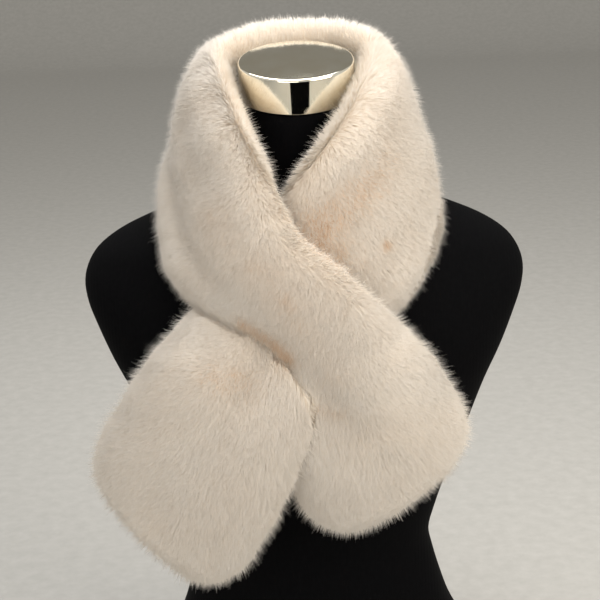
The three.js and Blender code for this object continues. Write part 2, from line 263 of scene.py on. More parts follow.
def evenTurns(shares):
    # Turns that are evenly spaced round a typical section: its outline is measured at many turns, and
    # the turn at each share of its length is read back
    w = np.linspace(-1, 1, 401)
    half = np.arccos(np.sign(w) * np.abs(w) ** (cloth["squareness"] / 2))
    turn = np.unique(np.concatenate([half, half + np.pi, np.linspace(0, 2 * np.pi, 721)]))
    c = np.cos(turn)
    outline = np.stack([60 * np.sign(c) * np.abs(c) ** (2 / cloth["squareness"]), 12 * np.sin(turn)])
    run = np.concatenate([[0], np.cumsum(np.linalg.norm(np.diff(outline), axis=0))])
    return np.interp(shares % 1, run / run[-1], turn)


# Creases of the cloth, placed one by one. from and to are row numbers of the wrap's table, w is their place
# across the width at those ends, half their half width there, and outer tells which face they lie in.
creases = [
    {"from": 0.9, "to": 4.3, "w": (-0.1, 0.35), "half": 0.2, "depth": 2.0, "outer": True},
    {"from": 0.5, "to": 2.6, "w": (0.65, 0.45), "half": 0.16, "depth": 1.4, "outer": True},
    {"from": 0.9, "to": 3.2, "w": (-0.4, 0.1), "half": 0.2, "depth": 1.2, "outer": False},
    {"from": 3.2, "to": 11.0, "w": (1.0, 0.9), "half": 0.6, "depth": 5.0, "outer": True},
    {"from": 8.2, "to": 13.9, "w": (0.55, 0.3), "half": 0.24, "depth": 1.2, "outer": True},
    {"from": 10.6, "to": 13.4, "w": (-0.3, -0.5), "half": 0.18, "depth": 1.2, "outer": True},
    {"from": 9.4, "to": 12.2, "w": (0.0, 0.2), "half": 0.2, "depth": 1.2, "outer": False},
    {"from": 14.6, "to": 17.2, "w": (0.1, 0.4), "half": 0.18, "depth": 2.0, "outer": True},
    {"from": 16.9, "to": 20.9, "w": (0.45, 0.05), "half": 0.22, "depth": 1.6, "outer": True},
    {"from": 15.8, "to": 18.3, "w": (-0.25, -0.05), "half": 0.14, "depth": 1.1, "outer": True},
    {"from": 21.2, "to": 25.2, "w": (-0.15, -0.4), "half": 0.2, "depth": 1.0, "outer": True},
    {"from": 22.4, "to": 25.8, "w": (0.6, 0.4), "half": 0.24, "depth": 1.4, "outer": True},
    {"from": 28.0, "to": 30.6, "w": (0.25, 0.0), "half": 0.22, "depth": 2.0, "outer": True},
    {"from": 28.6, "to": 31.1, "w": (0.5, 0.65), "half": 0.2, "depth": 1.4, "outer": True},
    {"from": 30.6, "to": 33.6, "w": (-0.35, -0.15), "half": 0.22, "depth": 1.1, "outer": True},
    {"from": 29.4, "to": 32.8, "w": (0.2, -0.1), "half": 0.2, "depth": 1.4, "outer": False},
]


def creaseDepth(t, w, outer):
    # Each crease is a bell across the width that fades out at its two ends
    depth = np.zeros(np.broadcast(t, w).shape)
    for crease in creases:
        share = (t - crease["from"]) / (crease["to"] - crease["from"])
        inside = np.clip(share, 0, 1)
        fade = np.where((share > 0) & (share < 1), np.sin(np.pi * inside) ** 1.2, 0)
        middle = crease["w"][0] + (crease["w"][1] - crease["w"][0]) * inside
        bell = np.exp(-(((w - middle) / crease["half"]) ** 2))
        depth = depth + np.where(outer == crease["outer"], crease["depth"] * fade * bell, 0)
    return depth


def sectionSizes(stretch, row, place):
    # Half width and half thickness of the cloth's section, narrowed round a tail's corners and thinned
    # towards its end, both along a quarter circle
    length = stretch["length"]
    toEnd = np.full(place.shape, 1e6)
    if stretch.get("round") == "start":
        toEnd = place * length
    if stretch.get("round") == "end":
        toEnd = (1 - place) * length
    toEnd = np.maximum(toEnd - cloth["insetEdge"], 0)
    corner = np.maximum(0, 1 - toEnd / cloth["corner"])
    edge = np.maximum(0, 1 - toEnd / cloth["endEdge"])
    halfWidth = row["wide"] / 2 - cloth["insetEdge"] * stretch.get("thin", 1)
    halfWidth = halfWidth - cloth["corner"] * (1 - np.sqrt(1 - np.minimum(corner, 1) ** 2))
    halfThick = row["thick"] / 2 - cloth["insetFace"] * stretch.get("thin", 1)
    halfThick = np.maximum(cloth["endThickness"] / 2, halfThick * np.sqrt(1 - np.minimum(edge, 1) ** 2))
    return halfWidth, halfThick


def clothPoints(stretch, place, turn, pressed=True):
    # The cloth as a function of the place along the stretch, 0 to 1, and the turn round its section:
    # across by a squared cosine of the turn, out by its sine, less the bow, the fold and the creases
    table = stretch["table"]
    t = stretch["from"] + (stretch["to"] - stretch["from"]) * place
    row, along, out, across, middle = framesAt(table, t)
    halfWidth, halfThick = sectionSizes(stretch, row, place)
    w = np.sign(np.cos(turn)) * np.abs(np.cos(turn)) ** (2 / cloth["squareness"])
    outer = np.sin(turn) > 0
    fold = np.where(outer, row["fold"] * np.exp(-(((w - row["at"]) / cloth["foldWidth"]) ** 2)), 0)
    height = np.sin(turn) * halfThick - row["bow"] * w * w - fold
    if table is wrap:
        height = height - np.where(outer, 1, -1) * creaseDepth(t, w, outer)
    slant = stretch.get("slant", 0) * (1 - place if stretch.get("round") == "start" else place)
    points = middle + across * (w * halfWidth)[..., None] + out * height[..., None]
    points = points + along * (slant * w)[..., None]
    return clearOfForm(points, cloth["overForm"]) if pressed else points


# Level sections of the form: half its width, how far front and back reach, how square it is, its lean
form = {
    "columns": ("z", "wide", "front", "back", "square", "lean"),
    "rows": np.array([
        (0, 141, -98, 98, 2.3, 0),
        (20, 148, -103, 105, 2.3, 0),
        (55, 148, -104, 106, 2.3, 0),
        (92, 132, -95, 96, 2.3, 0),
        (120, 123, -89, 84, 2.3, 0),
        (150, 115, -84, 72, 2.3, 0),
        (179, 110, -82, 65, 2.3, 0),
        (210, 117, -88, 64, 2.3, 0),
        (242, 127, -98, 68, 2.3, 0),
        (275, 139, -108, 74, 2.35, 0),
        (310, 151, -116, 81, 2.4, 0),
        (340, 163, -118, 87, 2.4, 0),
        (368, 177, -114, 91, 2.4, 0),
        (396, 189, -106, 93, 2.4, 0),
        (418, 197, -98, 92, 2.35, 0),
        (436, 199, -91, 89, 2.25, 0),
        (452, 194, -85, 85, 2.15, 0),
        (466, 183, -80, 81, 2.1, 0),
        (480, 162, -75, 77, 2.0, 0),
        (493, 131, -70, 72, 2.0, 1),
        (506, 99, -65, 67, 2.0, 2),
        (520, 74, -61, 60, 2.0, 4),
        (537, 60, -58, 53, 2.0, 6),
        (560, 52, -58, 46, 2.0, 9),
        (597, 48.5, -60, 40, 2.0, 11),
    ], dtype=float),
    "top": 615,  # no part of the form is higher
    "around": 128,
    "ringsPerRow": 4,
}


def formPoints(t, turn):
    # A superellipse in each level section, tipped forward by its lean about its middle
    row = valuesAt(form, t)
    c, s = np.cos(turn), np.sin(turn)
    middle, halfDepth = (row["front"] + row["back"]) / 2, (row["back"] - row["front"]) / 2
    x = np.sign(c) * np.abs(c) ** (2 / row["square"]) * row["wide"]
    y = np.sign(s) * np.abs(s) ** (2 / row["square"]) * halfDepth
    lean = np.radians(row["lean"])
    return np.stack([x, middle + y * np.cos(lean), row["z"] + y * np.sin(lean)], axis=-1)


def formShare(points):
    # How far out a point lies in the form's section at its height: 1 on the surface, less inside it
    heights = form["rows"][:, 0]
    z = points[..., 2]
    t = np.interp(z, heights, np.arange(len(heights)))
    for _ in range(2):
        row = valuesAt(form, t)
        middle = (row["front"] + row["back"]) / 2
        level = z - (points[..., 1] - middle) * np.tan(np.radians(row["lean"]))
        t = np.interp(level, heights, np.arange(len(heights)))
    halfDepth = (row["back"] - row["front"]) / 2
    x, y = points[..., 0] / row["wide"], (points[..., 1] - middle) / halfDepth
    share = (np.abs(x) ** row["square"] + np.abs(y) ** row["square"]) ** (1 / row["square"])
    return np.where(z > form["top"], 9, share)


def clearOfForm(points, gap):
    # Points inside the form go out the way its surface faces there, until they lie gap outside it: the
    # share's slope turns the share that is missing into a distance, and three steps come close enough
    moved = points.reshape(-1, 3).copy()
    for _ in range(3):
        share = formShare(moved)
        near = np.flatnonzero(share < 1.15)
        part = moved[near]
        slope = np.stack([formShare(part + step) - share[near] for step in np.eye(3)], axis=-1)
        steep = np.maximum(np.linalg.norm(slope, axis=-1), 1e-4)
        away = gap - (share[near] - 1) / steep
        moved[near] = part + slope / steep[:, None] * np.clip(away, 0, 12)[:, None]
    return moved.reshape(points.shape)


# The stretches, as row numbers of their table. flat is the cut in metres: all round the tube, and its
# length. strands is how many hairs it grows, and inner is how dense they are on the face against the form.
# Hairs are left out where the stretches in meets press.
stretches = {
    "right_tail": {
        "table": wrap, "from": 0, "to": 4.2, "round": "start", "slant": -8, "flat": (0.264, 0.150),
        "strands": 140000, "inner": 0.35,
        "meets": ("left_tail", "right_collar"),
    },
    "crossing_band": {
        "table": wrap, "from": 4.2, "to": 8.6, "flat": (0.176, 0.113),
        "strands": 90000, "inner": 0.2,
        "meets": ("right_collar", "left_tail"),
    },
    "left_collar": {
        "table": wrap, "from": 8.6, "to": 14.4, "flat": (0.252, 0.194),
        "strands": 155000, "inner": 0.5,
        "meets": ("right_collar", "left_tail"),
    },
    "neck_back": {
        "table": wrap, "from": 14.4, "to": 20.6, "flat": (0.259, 0.223),
        "strands": 108000, "inner": 0.5,
        "meets": (),
    },
    "right_collar": {
        "table": wrap, "from": 20.6, "to": 27.4, "flat": (0.262, 0.238),
        "strands": 145000, "inner": 0.4,
        "meets": ("crossing_band", "left_collar", "right_tail"),
    },
    "left_tail": {
        "table": wrap, "from": 27.4, "to": 34, "round": "end", "slant": 16, "flat": (0.268, 0.246),
        "strands": 192000, "inner": 0.3,
        "meets": ("crossing_band", "left_collar", "right_tail"),
    },
    "slit_strap": {
        "table": strap, "from": 0, "to": 4, "flat": (0.074, 0.113), "thin": 0.6,
        "strands": 8000, "inner": 0.2,
        "meets": ("left_tail", "crossing_band", "left_collar", "right_tail", "right_collar"),
    },
}
for stretch in stretches.values():
    marks = framesAt(stretch["table"], np.linspace(stretch["from"], stretch["to"], 61))[4]
    stretch["length"] = np.sum(np.linalg.norm(np.diff(marks, axis=0), axis=1))


def depthInside(name, points):
    # How deep points lie in another stretch, pile included: from the nearest section's middle, across
    # and out are measured, and the section's own half height there less the point's is the depth
    other = stretches[name]
    t = np.linspace(other["from"], other["to"], 48)
    row, along, out, across, middle = framesAt(other["table"], t)
    depth = np.empty(len(points))
    for start in range(0, len(points), 20000):
        part = points[start : start + 20000]
        gaps = ((part[:, None, :] - middle[None]) ** 2).sum(axis=-1)
        near = gaps.argmin(axis=1)
        offset = part - middle[near]
        beyond = np.abs(np.sum(offset * along[near], axis=1))
        w = np.sum(offset * across[near], axis=1) / (row["wide"][near] / 2)
        high = np.sum(offset * out[near], axis=1) + row["bow"][near] * w * w
        full = np.sqrt(np.maximum(0, 1 - np.minimum(np.abs(w), 1) ** cloth["squareness"]))
        inside = row["thick"][near] / 2 * full - np.abs(high)
        depth[start : start + 20000] = np.where((np.abs(w) < 1) & (beyond < 8), inside, -1)
    return depth


# A short, dense pile of soft, straight hairs that lie over along the nap
pile = {
    "length": 14.0,
    "rise": 33,  # degrees that a hair stands off the cloth where the nap is full
    "full": 0.42,  # strength of the nap from which it is full
    "upright": 0.36,  # how much shorter upright hairs are, so that the pile is as deep everywhere
    "widest": 0.62,  # where along its length it is widest
    "width": 0.75,  # how wide it is there
    "spread": 0.045,  # how much hairs differ in length
    "stray": 0.45,  # how far tips stray to any side
    "lock": 5.5,  # distance between locks
    "gather": 0.12,  # how far the tips move towards the middle of their lock
    "guard": 0.24,  # share of finer hairs that reach past the others
    "guardLength": 1.25,  # at most, against the others
    "guardRise": 0.6,  # radians that they may stand up more
    "twist": 25,  # degrees that a hair is turned about its length, at most
    "tilt": 0.04,  # how far a hair's shading strays from the pile's own surface
    "offForm": 0.8,  # its tip stays this far off the form
    "pressed": 6,  # roots that lie deeper than this in another stretch are left out
    "spare": 1.5,  # so many roots are drawn for each hair, to make up for those left out
    "seed": 11,
}

# Strokes over the wrap, with their half width, how far they shift the hairs' tone, and how much the hairs
# curl there.
# Most are where the pile shows its warmer, curlier roots; the band's lower face, a dimple and the creases
# where the band meets the tails are darkened as painted shade.
strokes = [
    {
        "path": [(73, -75, 554), (54, -91, 537), (32, -101, 519), (13, -105, 506)],
        "half": 17, "tone": -0.12, "curl": 0.8,
    },
    {"path": [(13, -105, 506), (7, -107, 490), (24, -110, 472)], "half": 22, "tone": -0.14, "curl": 0.9},
    {"path": [(32, -101, 505), (34, -108, 488)], "half": 32, "tone": -0.06, "curl": 0.4},
    # Painted shade: the hollow of a small dimple in the pile, darkened
    {"path": [(69, -96, 489), (70, -96, 488)], "half": 4.5, "tone": -0.35, "curl": 0.3},
    # Painted shade: the crease where the band's lower edge lies over the left tail, in a warm tan
    {"path": [(-54, -147, 437), (-36, -153, 424), (-18, -156, 409)], "half": 8, "tone": -0.5, "curl": 0.4},
    {"path": [(-76, -158, 396), (-49, -159, 392)], "half": 14, "tone": -0.14, "curl": 0.6},
    # Painted shade: the band's lower face, which turns away from the light, is made duller and darker
    {"path": [(-71, -112, 521), (-28, -147, 470), (18, -159, 403)], "half": 17, "tone": -0.15, "curl": 0.0},
    {"path": [(-12, -151, 460), (-8, -151, 457)], "half": 4, "tone": -0.1, "curl": 0.0},
    # Painted shade: the corner where the left tail's edge meets the band
    {"path": [(14, -158, 366), (26, -159, 360)], "half": 6, "tone": -0.2, "curl": 0.4},
]


# How the nap lies, by row number of the wrap's table. Where over is 0 it fans from the middle of each
# face to both edges, and where over is 1 it runs from the neck edge to the other one. There, where roll
# is 0 it parts on the neck edge, and where roll is 1 it comes round that edge from the inner face. fan
# says how strongly, and down how much the nap hangs along the wrap. fluff is how tousled the pile is: the
# loose ends are more so than the collar.
napRows = {
    "row": (0.0, 3.4, 5.4, 10.8, 12.8, 22.2, 24.6, 25.5, 27.8, 34.0),
    "over": (0.0, 0.0, 1.0, 1.0, 1.0, 1.0, 1.0, 1.0, 0.0, 0.0),
    "roll": (0.0, 0.0, 0.0, 0.0, 0.85, 0.85, 0.0, 0.0, 0.0, 0.0),
    "fan": (0.7, 0.7, 0.85, 0.9, 0.9, 0.9, 0.9, 0.9, 0.7, 0.7),
    "down": (1.0, 1.0, 0.6, 0.6, 0.6, 0.6, 0.6, 0.6, 1.0, 1.0),
    "fluff": (1.0, 0.8, 0.5, 0.25, 0.1, 0.1, 0.2, 0.3, 0.7, 1.0),
}


def strokeShare(points, stroke):
    # 1 on the stroke's path, fading as a bell to nothing beside it
    path = np.array(stroke["path"], dtype=float)
    nearest = np.full(len(points), np.inf)
    for start, end in zip(path[:-1], path[1:]):
        span = end - start
        share = np.clip((points - start) @ span / (span @ span), 0, 1)
        nearest = np.minimum(nearest, np.linalg.norm(points - start - share[:, None] * span, axis=1))
    return np.exp(-((nearest / stroke["half"]) ** 2) / 1.4)


def waves(points, size, rng, count=5):
    # A smooth random field: the mean of a few sine waves about size long, in random directions
    total = np.zeros(points.shape[:-1])
    for _ in range(count):
        way = unit(rng.normal(size=3)) * (2 * np.pi / (size * rng.uniform(0.7, 1.4)))
        total += np.sin(points @ way + rng.uniform(0, 2 * np.pi))
    return total / np.sqrt(count)


def scatterRoots(stretch, count, rng):
    # Random places on the cloth, even by area, with fewer on the face that lies against the form
    rings, around = 80, 72
    inset = cloth["insetEdge"] / stretch["length"]
    low = inset if stretch.get("round") == "start" else 0
    high = 1 - inset if stretch.get("round") == "end" else 1
    rows, columns = np.arange(rings) + 0.5, np.arange(around) + 0.5
    u, share = np.meshgrid(low + (high - low) * rows / rings, columns / around, indexing="ij")
    v = evenTurns(share)
    points = clothPoints(stretch, u, v)
    uSide = np.linalg.norm(np.gradient(points, axis=0), axis=-1)
    vSide = np.linalg.norm(np.roll(points, -1, axis=1) - np.roll(points, 1, axis=1), axis=-1) / 2
    weight = uSide * vSide * np.where(np.sin(v) > -0.35, 1, stretch["inner"])
    picked = rng.choice(weight.size, size=count, p=(weight / weight.sum()).ravel())
    row, column = np.divmod(picked, around)
    return low + (high - low) * (row + rng.random(count)) / rings, (column + rng.random(count)) / around


def growPile(name, stretch, material):
    # A hair is a flat blade, pointed at both ends, that leans from its root along the nap; where the nap
    # fades, on the edges, it stands straight up. Hairs gather a little into locks.
    rng = np.random.default_rng(pile["seed"] + len(name) * 7 + int(stretch["from"] * 10))
    wanted = stretch["strands"]
    place, share = scatterRoots(stretch, int(wanted * pile["spare"]), rng)
    turn = evenTurns(share)
    root = clothPoints(stretch, place, turn)

    # Hairs that would grow inside the form, or where another stretch presses, are left out
    keep = formShare(root) > 1
    for other in stretch["meets"]:
        keep &= depthInside(other, root) < pile["pressed"]
    kept = np.flatnonzero(keep)[:wanted]
    place, share, turn, root = place[kept], share[kept], turn[kept], root[kept]
    count = len(root)
    step = 0.004
    ways = []
    for a, b in ((step, 0), (0, step)):
        ahead = clothPoints(stretch, place + a, turn + b, False)
        ways.append(unit(ahead - clothPoints(stretch, place - a, turn - b, False)))
    alongWay, roundWay = ways
    normal = unit(np.cross(roundWay, alongWay))

    t = stretch["from"] + (stretch["to"] - stretch["from"]) * place
    row, along, out, across = framesAt(stretch["table"], t)[:4]
    w = np.sign(np.cos(turn)) * np.abs(np.cos(turn)) ** (2 / cloth["squareness"])
    napPlace = t if stretch["table"] is wrap else t * 0
    over, roll, fan, down, fluff = (
        np.interp(napPlace, napRows["row"], napRows[key])[:, None]
        for key in ("over", "roll", "fan", "down", "fluff")
    )
    loose = fluff[:, 0]
    wide, outer = w[:, None], np.sin(turn)[:, None] > 0
    rolled = np.tanh((np.where(outer, wide, -2 - wide) + 1.4) * 4)
    parted = np.where(outer, 1, -1) * np.tanh((1 + wide) * 2.2)
    fromNeck = across * (1 + wide) / 2 - roundWay * (rolled * roll + parted * (1 - roll)) * (1 - wide) / 2
    nap = (across * np.tanh(1.4 * wide) * (1 - over) + fromNeck * over) * fan - along * along[:, 2:] * down
    shift, curl = np.zeros(count), np.zeros(count)
    # The strokes shift each hair's tone: warmer roots, and painted shade where the strokes list says so
    for stroke in strokes:
        near = strokeShare(root + normal * 7, stroke)
        shift = shift + stroke["tone"] * near
        curl = np.maximum(curl, stroke["curl"] * near)
    bend = waves(root, 60, rng) * 0.2 + waves(root, 22, rng) * 0.1
    bend += (waves(root, 4, rng) * 0.6 + rng.normal(0, 0.7, count)) * curl
    nap = nap + np.cross(normal, nap) * bend[:, None]
    nap = nap - normal * dot(nap, normal)
    strength = np.linalg.norm(nap, axis=1, keepdims=True)
    nap = nap / np.maximum(strength, 1e-6) * np.clip(strength / pile["full"], 0, 1)

    # Locks: a jittered grid over the cloth, and each hair leans towards the middle of its own cell
    perimeter = 2 * (row["wide"] - 2 * cloth["insetEdge"]) + 20
    u, v = place * stretch["length"] / pile["lock"], share * perimeter / pile["lock"]
    cellU, cellV = np.floor(u).astype(int) % 256, np.floor(v).astype(int) % 256
    jitter = rng.random((4, 256, 256))
    toMiddle = alongWay * ((0.2 + 0.6 * jitter[0][cellU, cellV] - u % 1) * pile["lock"])[:, None]
    toMiddle += roundWay * ((0.2 + 0.6 * jitter[1][cellU, cellV] - v % 1) * pile["lock"])[:, None]
    lockTone = jitter[2][cellU, cellV] - 0.5

    # Guard hairs are finer, stand up more and reach past the others, which gives the pile its soft
    # outline. On the rims of the loose ends the locks are stronger, and make tufts.
    guard = rng.random(count) < pile["guard"]
    rim = 1 - np.linalg.norm(nap, axis=1) ** 2
    tufted = loose * rim
    size = 1 + pile["spread"] * rng.normal(0, 1, count) + 0.03 * waves(root, 35, rng)
    size += 0.03 * waves(root, 3, rng) + (0.05 + 0.18 * tufted) * (jitter[3][cellU, cellV] - 0.5)
    size = size * (1 - pile["upright"] * rim * np.where(guard, 0.4, 1)) * (1 - 0.2 * curl)
    reach = rng.uniform(0.95, pile["guardLength"] + 0.15 * loose, count)
    size = size * pile["length"] * stretch.get("thin", 1) * np.where(guard, reach, 1)
    rise = np.radians(pile["rise"]) + rng.normal(0, 0.06, count)
    rise = rise + guard * rng.uniform(0, pile["guardRise"], count) * (1 + 0.4 * loose)
    stray = rng.normal(0, 1, (count, 3)) * np.where(guard, 0.8, pile["stray"])[:, None]

    # The nap laid over by its own strength, and the rest of the unit length straight up
    flat = nap * np.cos(rise)[:, None]
    way = flat + normal * np.sqrt(np.maximum(0, 1 - dot(flat, flat)))
    gathered = toMiddle * pile["gather"] * (1 + 2 * tufted)[:, None]
    tip = clearOfForm(root + way * size[:, None] + gathered + stray, pile["offForm"])
    middle = root + (tip - root) * pile["widest"]
    axis = unit(tip - root)
    edge = unit(np.cross(axis, normal))
    twist = np.radians(rng.uniform(-pile["twist"], pile["twist"], count))[:, None]
    edge = edge * np.cos(twist) + np.cross(axis, edge) * np.sin(twist)
    middle += edge * (np.where(guard, 0.32, 1) * pile["width"])[:, None]
    points = np.stack([root, middle, tip], axis=1).reshape(-1, 3)
    faces = [np.arange(count)[:, None] * 3 + np.array([0, 1, 2])]

    # The map gives each hair its tone, and runs from root to tip
    tone = 0.67 + 0.02 * loose + (0.03 + 0.03 * loose) * lockTone + 0.02 * rng.normal(0, 1, count)
    tone += 0.03 * waves(root, 70, rng) + 0.05 * waves(root, 2.5, rng) + shift
    tone += curl * (0.15 * rng.normal(0, 1, count) + 0.12 * waves(root, 3.5, rng))
    tone = np.clip(tone, 0.03, 0.96)
    uv = np.zeros((count, 3, 2))
    uv[:, :, 0] = tone[:, None] + np.array([0, 0.01, 0])
    uv[:, :, 1] = np.array([0.02, 0.6, 0.98])
    # Hairs are shaded as the pile's surface is, so that the pile looks soft. Its edges are rounder than the
    # cloth's, and light comes through them from the face, so they are turned between edge and face.
    nearEdge = np.clip((np.abs(wide) - 0.75) / 0.25, 0, 1)
    nearEdge = nearEdge * np.where(wide > 0, 1, np.clip(1 + 3 * np.sin(turn)[:, None], 0, 1))
    facing = normal * (1 - 0.6 * nearEdge) + (across * np.sign(wide) + out) * 0.5 * nearEdge
    facing = unit(facing + rng.normal(0, pile["tilt"], (count, 3)))
    normals = np.repeat(facing, 3, axis=0)
    piece = addMesh(name + "_pile", points, faces, material, uv.reshape(-1, 2), normals)
    print(name, "hairs:", count, "of", wanted)
    return piece


def buildCloth(name, stretch, material):
    # A tube of cloth: rings along the stretch, closed over a tail's free end, with a thin wall
    length, around, rounded = stretch["length"], cloth["around"], stretch.get("round")
    start = cloth["insetEdge"] if rounded == "start" else cloth["seamGap"]
    stop = length - (cloth["insetEdge"] if rounded == "end" else cloth["seamGap"])
    steps = int(np.ceil((stop - start) / cloth["step"]))
    places = np.linspace(start, stop, steps + 1)
    corner = cloth["corner"] * (1 - np.sin(np.linspace(0, np.pi / 2, 12)))
    if rounded == "start":
        places = np.concatenate([start + corner[::-1], places[places > start + cloth["corner"] + 1]])
    if rounded == "end":
        places = np.concatenate([places[places < stop - cloth["corner"] - 1], stop - corner])
    turn = evenTurns(np.arange(around) / around)
    u, v = np.meshgrid(places / length, turn, indexing="ij")
    rings = clothPoints(stretch, u, v)
    piece = addTube(name + "_cloth", rings, material, rounded == "start", rounded == "end")
    wall = piece.modifiers.new("wall", "SOLIDIFY")
    wall.thickness = cloth["wall"] * millimetre
    wall.offset = -1
    return piece


furMaterial, tree = newMaterial("modacrylicPile")
# Modacrylic fur fibre, extruded and heat set: matt and soft, a little darker and warmer at its root, and
# half of the light goes through it
uvMap = addNode(tree, "ShaderNodeUVMap", uv_map="OFBake")
split = addNode(tree, "ShaderNodeSeparateXYZ", links={"Vector": uvMap.outputs["UV"]})
tone = addNode(
    tree, "ShaderNodeValToRGB", links={"Fac": split.outputs["X"]},
    stops=[(0.0, "#d3a679"), (1.0, "#fdfbf9"), (0.25, "#efd6ba"), (0.5, "#f7f0e7"), (0.75, "#fbf7f1")],
)
shade = addNode(
    tree, "ShaderNodeValToRGB", links={"Fac": split.outputs["Y"]},
    stops=[(0.0, "#f3ece3"), (1.0, "#ffffff"), (0.5, "#fbf8f3")],
)
mixed = addNode(
    tree, "ShaderNodeMix", data_type="RGBA", blend_type="MULTIPLY", values={"Factor": 1.0},
    links={6: tone.outputs["Color"], 7: shade.outputs["Color"]},  # its sockets for two colours
)
furShader = addNode(
    tree, "ShaderNodeBsdfPrincipled",
    values={"Roughness": 0.8, "IOR": 1.49, "Sheen Weight": 0.3, "Sheen Roughness": 0.4},
    links={"Base Color": mixed.outputs[2]},
)
glow = addNode(tree, "ShaderNodeBsdfTranslucent", links={"Color": mixed.outputs[2]})
both = addNode(
    tree, "ShaderNodeMixShader", values={"Fac": 0.5},
    links={1: furShader.outputs["BSDF"], 2: glow.outputs["BSDF"]},
)
addNode(tree, "ShaderNodeOutputMaterial", links={"Surface": both.outputs["Shader"]})

backingMaterial, tree = newMaterial("knittedBacking")
# Warp-knitted polyester backing: small slanted loops, 1.5 mm apart, in warm cream
place = addNode(tree, "ShaderNodeTexCoord")
loops = addNode(
    tree, "ShaderNodeTexWave", links={"Vector": place.outputs["Object"]}, bands_direction="DIAGONAL",
    values={"Scale": 100.0, "Distortion": 1.5, "Detail": 1.0, "Detail Scale": 2.0},
)
colour = addNode(
    tree, "ShaderNodeValToRGB", links={"Fac": loops.outputs["Fac"]},
    stops=[(0.0, "#eadfcf"), (1.0, "#f6eee2")],
)
bump = addNode(
    tree, "ShaderNodeBump", links={"Height": loops.outputs["Fac"]},
    values={"Strength": 0.4, "Distance": 0.0004},
)
shader = addNode(
    tree, "ShaderNodeBsdfPrincipled", values={"Roughness": 0.9, "IOR": 1.5, "Sheen Weight": 0.2},
    links={"Base Color": colour.outputs["Color"], "Normal": bump.outputs["Normal"]},
)
addNode(tree, "ShaderNodeOutputMaterial", links={"Surface": shader.outputs["BSDF"]})

for name, stretch in stretches.items():
    piece = buildCloth(name, stretch, backingMaterial)
    fur = growPile(name, stretch, furMaterial)
    for made in (piece, fur):
        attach(made, "root")
    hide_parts(name)
print("wrap built, lengths in mm:", {name: round(float(s["length"])) for name, s in stretches.items()})

jerseyMaterial, tree = newMaterial("stretchJersey")
# Black cotton and elastane jersey, knitted in fine ribs of loops and pulled smooth over the form: matt,
# with a faint grey bloom where it turns away. The loops are drawn 1.6 mm apart so that they show.
place = addNode(tree, "ShaderNodeTexCoord")
ribs = addNode(
    tree, "ShaderNodeTexWave", links={"Vector": place.outputs["Object"]}, bands_direction="X",
    values={"Scale": 98.0, "Distortion": 0.6, "Detail": 2.0, "Detail Scale": 1.5},
)
lint = addNode(
    tree, "ShaderNodeTexNoise", links={"Vector": place.outputs["Object"]},
    values={"Scale": 260.0, "Detail": 4.0, "Roughness": 0.6},
)
colour = addNode(
    tree, "ShaderNodeValToRGB", links={"Fac": lint.outputs["Fac"]},
    stops=[(0.3, "#030304"), (0.78, "#060607")],
)
bump = addNode(
    tree, "ShaderNodeBump", links={"Height": ribs.outputs["Fac"]},
    values={"Strength": 0.25, "Distance": 0.0003},
)
shader = addNode(
    tree, "ShaderNodeBsdfPrincipled",
    values={"Roughness": 0.85, "IOR": 1.5, "Specular IOR Level": 0.05},
    links={"Base Color": colour.outputs["Color"], "Normal": bump.outputs["Normal"]},
)
addNode(tree, "ShaderNodeOutputMaterial", links={"Surface": shader.outputs["BSDF"]})

turn = np.linspace(0, 2 * np.pi, form["around"], endpoint=False)
steps = (len(form["rows"]) - 1) * form["ringsPerRow"]
t, turn = np.meshgrid(np.linspace(0, len(form["rows"]) - 1, steps + 1), turn, indexing="ij")
body = addTube("form_jersey", formPoints(t, turn), jerseyMaterial, True, True)
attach(body, "root")
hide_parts("form_body")
print("form built")

# The neck cap, an oval lid: an upright band, a rounded rim and a slightly domed top
cap = {
    "halfWidth": 50.5,
    "halfDepth": 52,
    "band": 31,
    "dome": 3.5,
    "rim": 2.2,
    "lean": 11,
    "foot": 0.7,  # radius of the lower edge
    "around": 128,
    "gap": 0.3,
}


def capPoints(sizes):
    # A turned profile: out along the foot, up the band, round the rim by a quarter circle and in over a
    # parabola. It is made oval, leaned forward and set on the top of the neck.
    width = sizes["halfWidth"]
    arc = np.linspace(0, np.pi / 2, 9)
    inward = np.linspace(1, 0.02, 14)[1:]
    foot, rim = sizes["foot"], sizes["rim"]
    radius = np.concatenate([
        [0.5, 0.9], 1 - foot / width * (1 - np.sin(arc)),
        1 - rim / width * (1 - np.cos(arc)), (1 - rim / width) * inward,
    ])
    height = np.concatenate([
        [0, 0], foot * (1 - np.cos(arc)),
        sizes["band"] - rim * (1 - np.sin(arc)), sizes["band"] + sizes["dome"] * (1 - inward**2),
    ])
    turn = np.linspace(0, 2 * np.pi, sizes["around"], endpoint=False)
    x = radius[:, None] * np.cos(turn) * sizes["halfWidth"]
    y = radius[:, None] * np.sin(turn) * sizes["halfDepth"]
    z = np.broadcast_to(height[:, None], x.shape)
    lean = np.radians(sizes["lean"])
    neck = valuesAt(form, np.array([len(form["rows"]) - 1.0]))
    middle = (neck["front"] + neck["back"]) / 2
    leaned = y * np.cos(lean) - z * np.sin(lean) + middle
    return np.stack([x, leaned, y * np.sin(lean) + z * np.cos(lean) + neck["z"] + sizes["gap"]], axis=-1)


capMaterial, tree = newMaterial("polishedPaleGold")
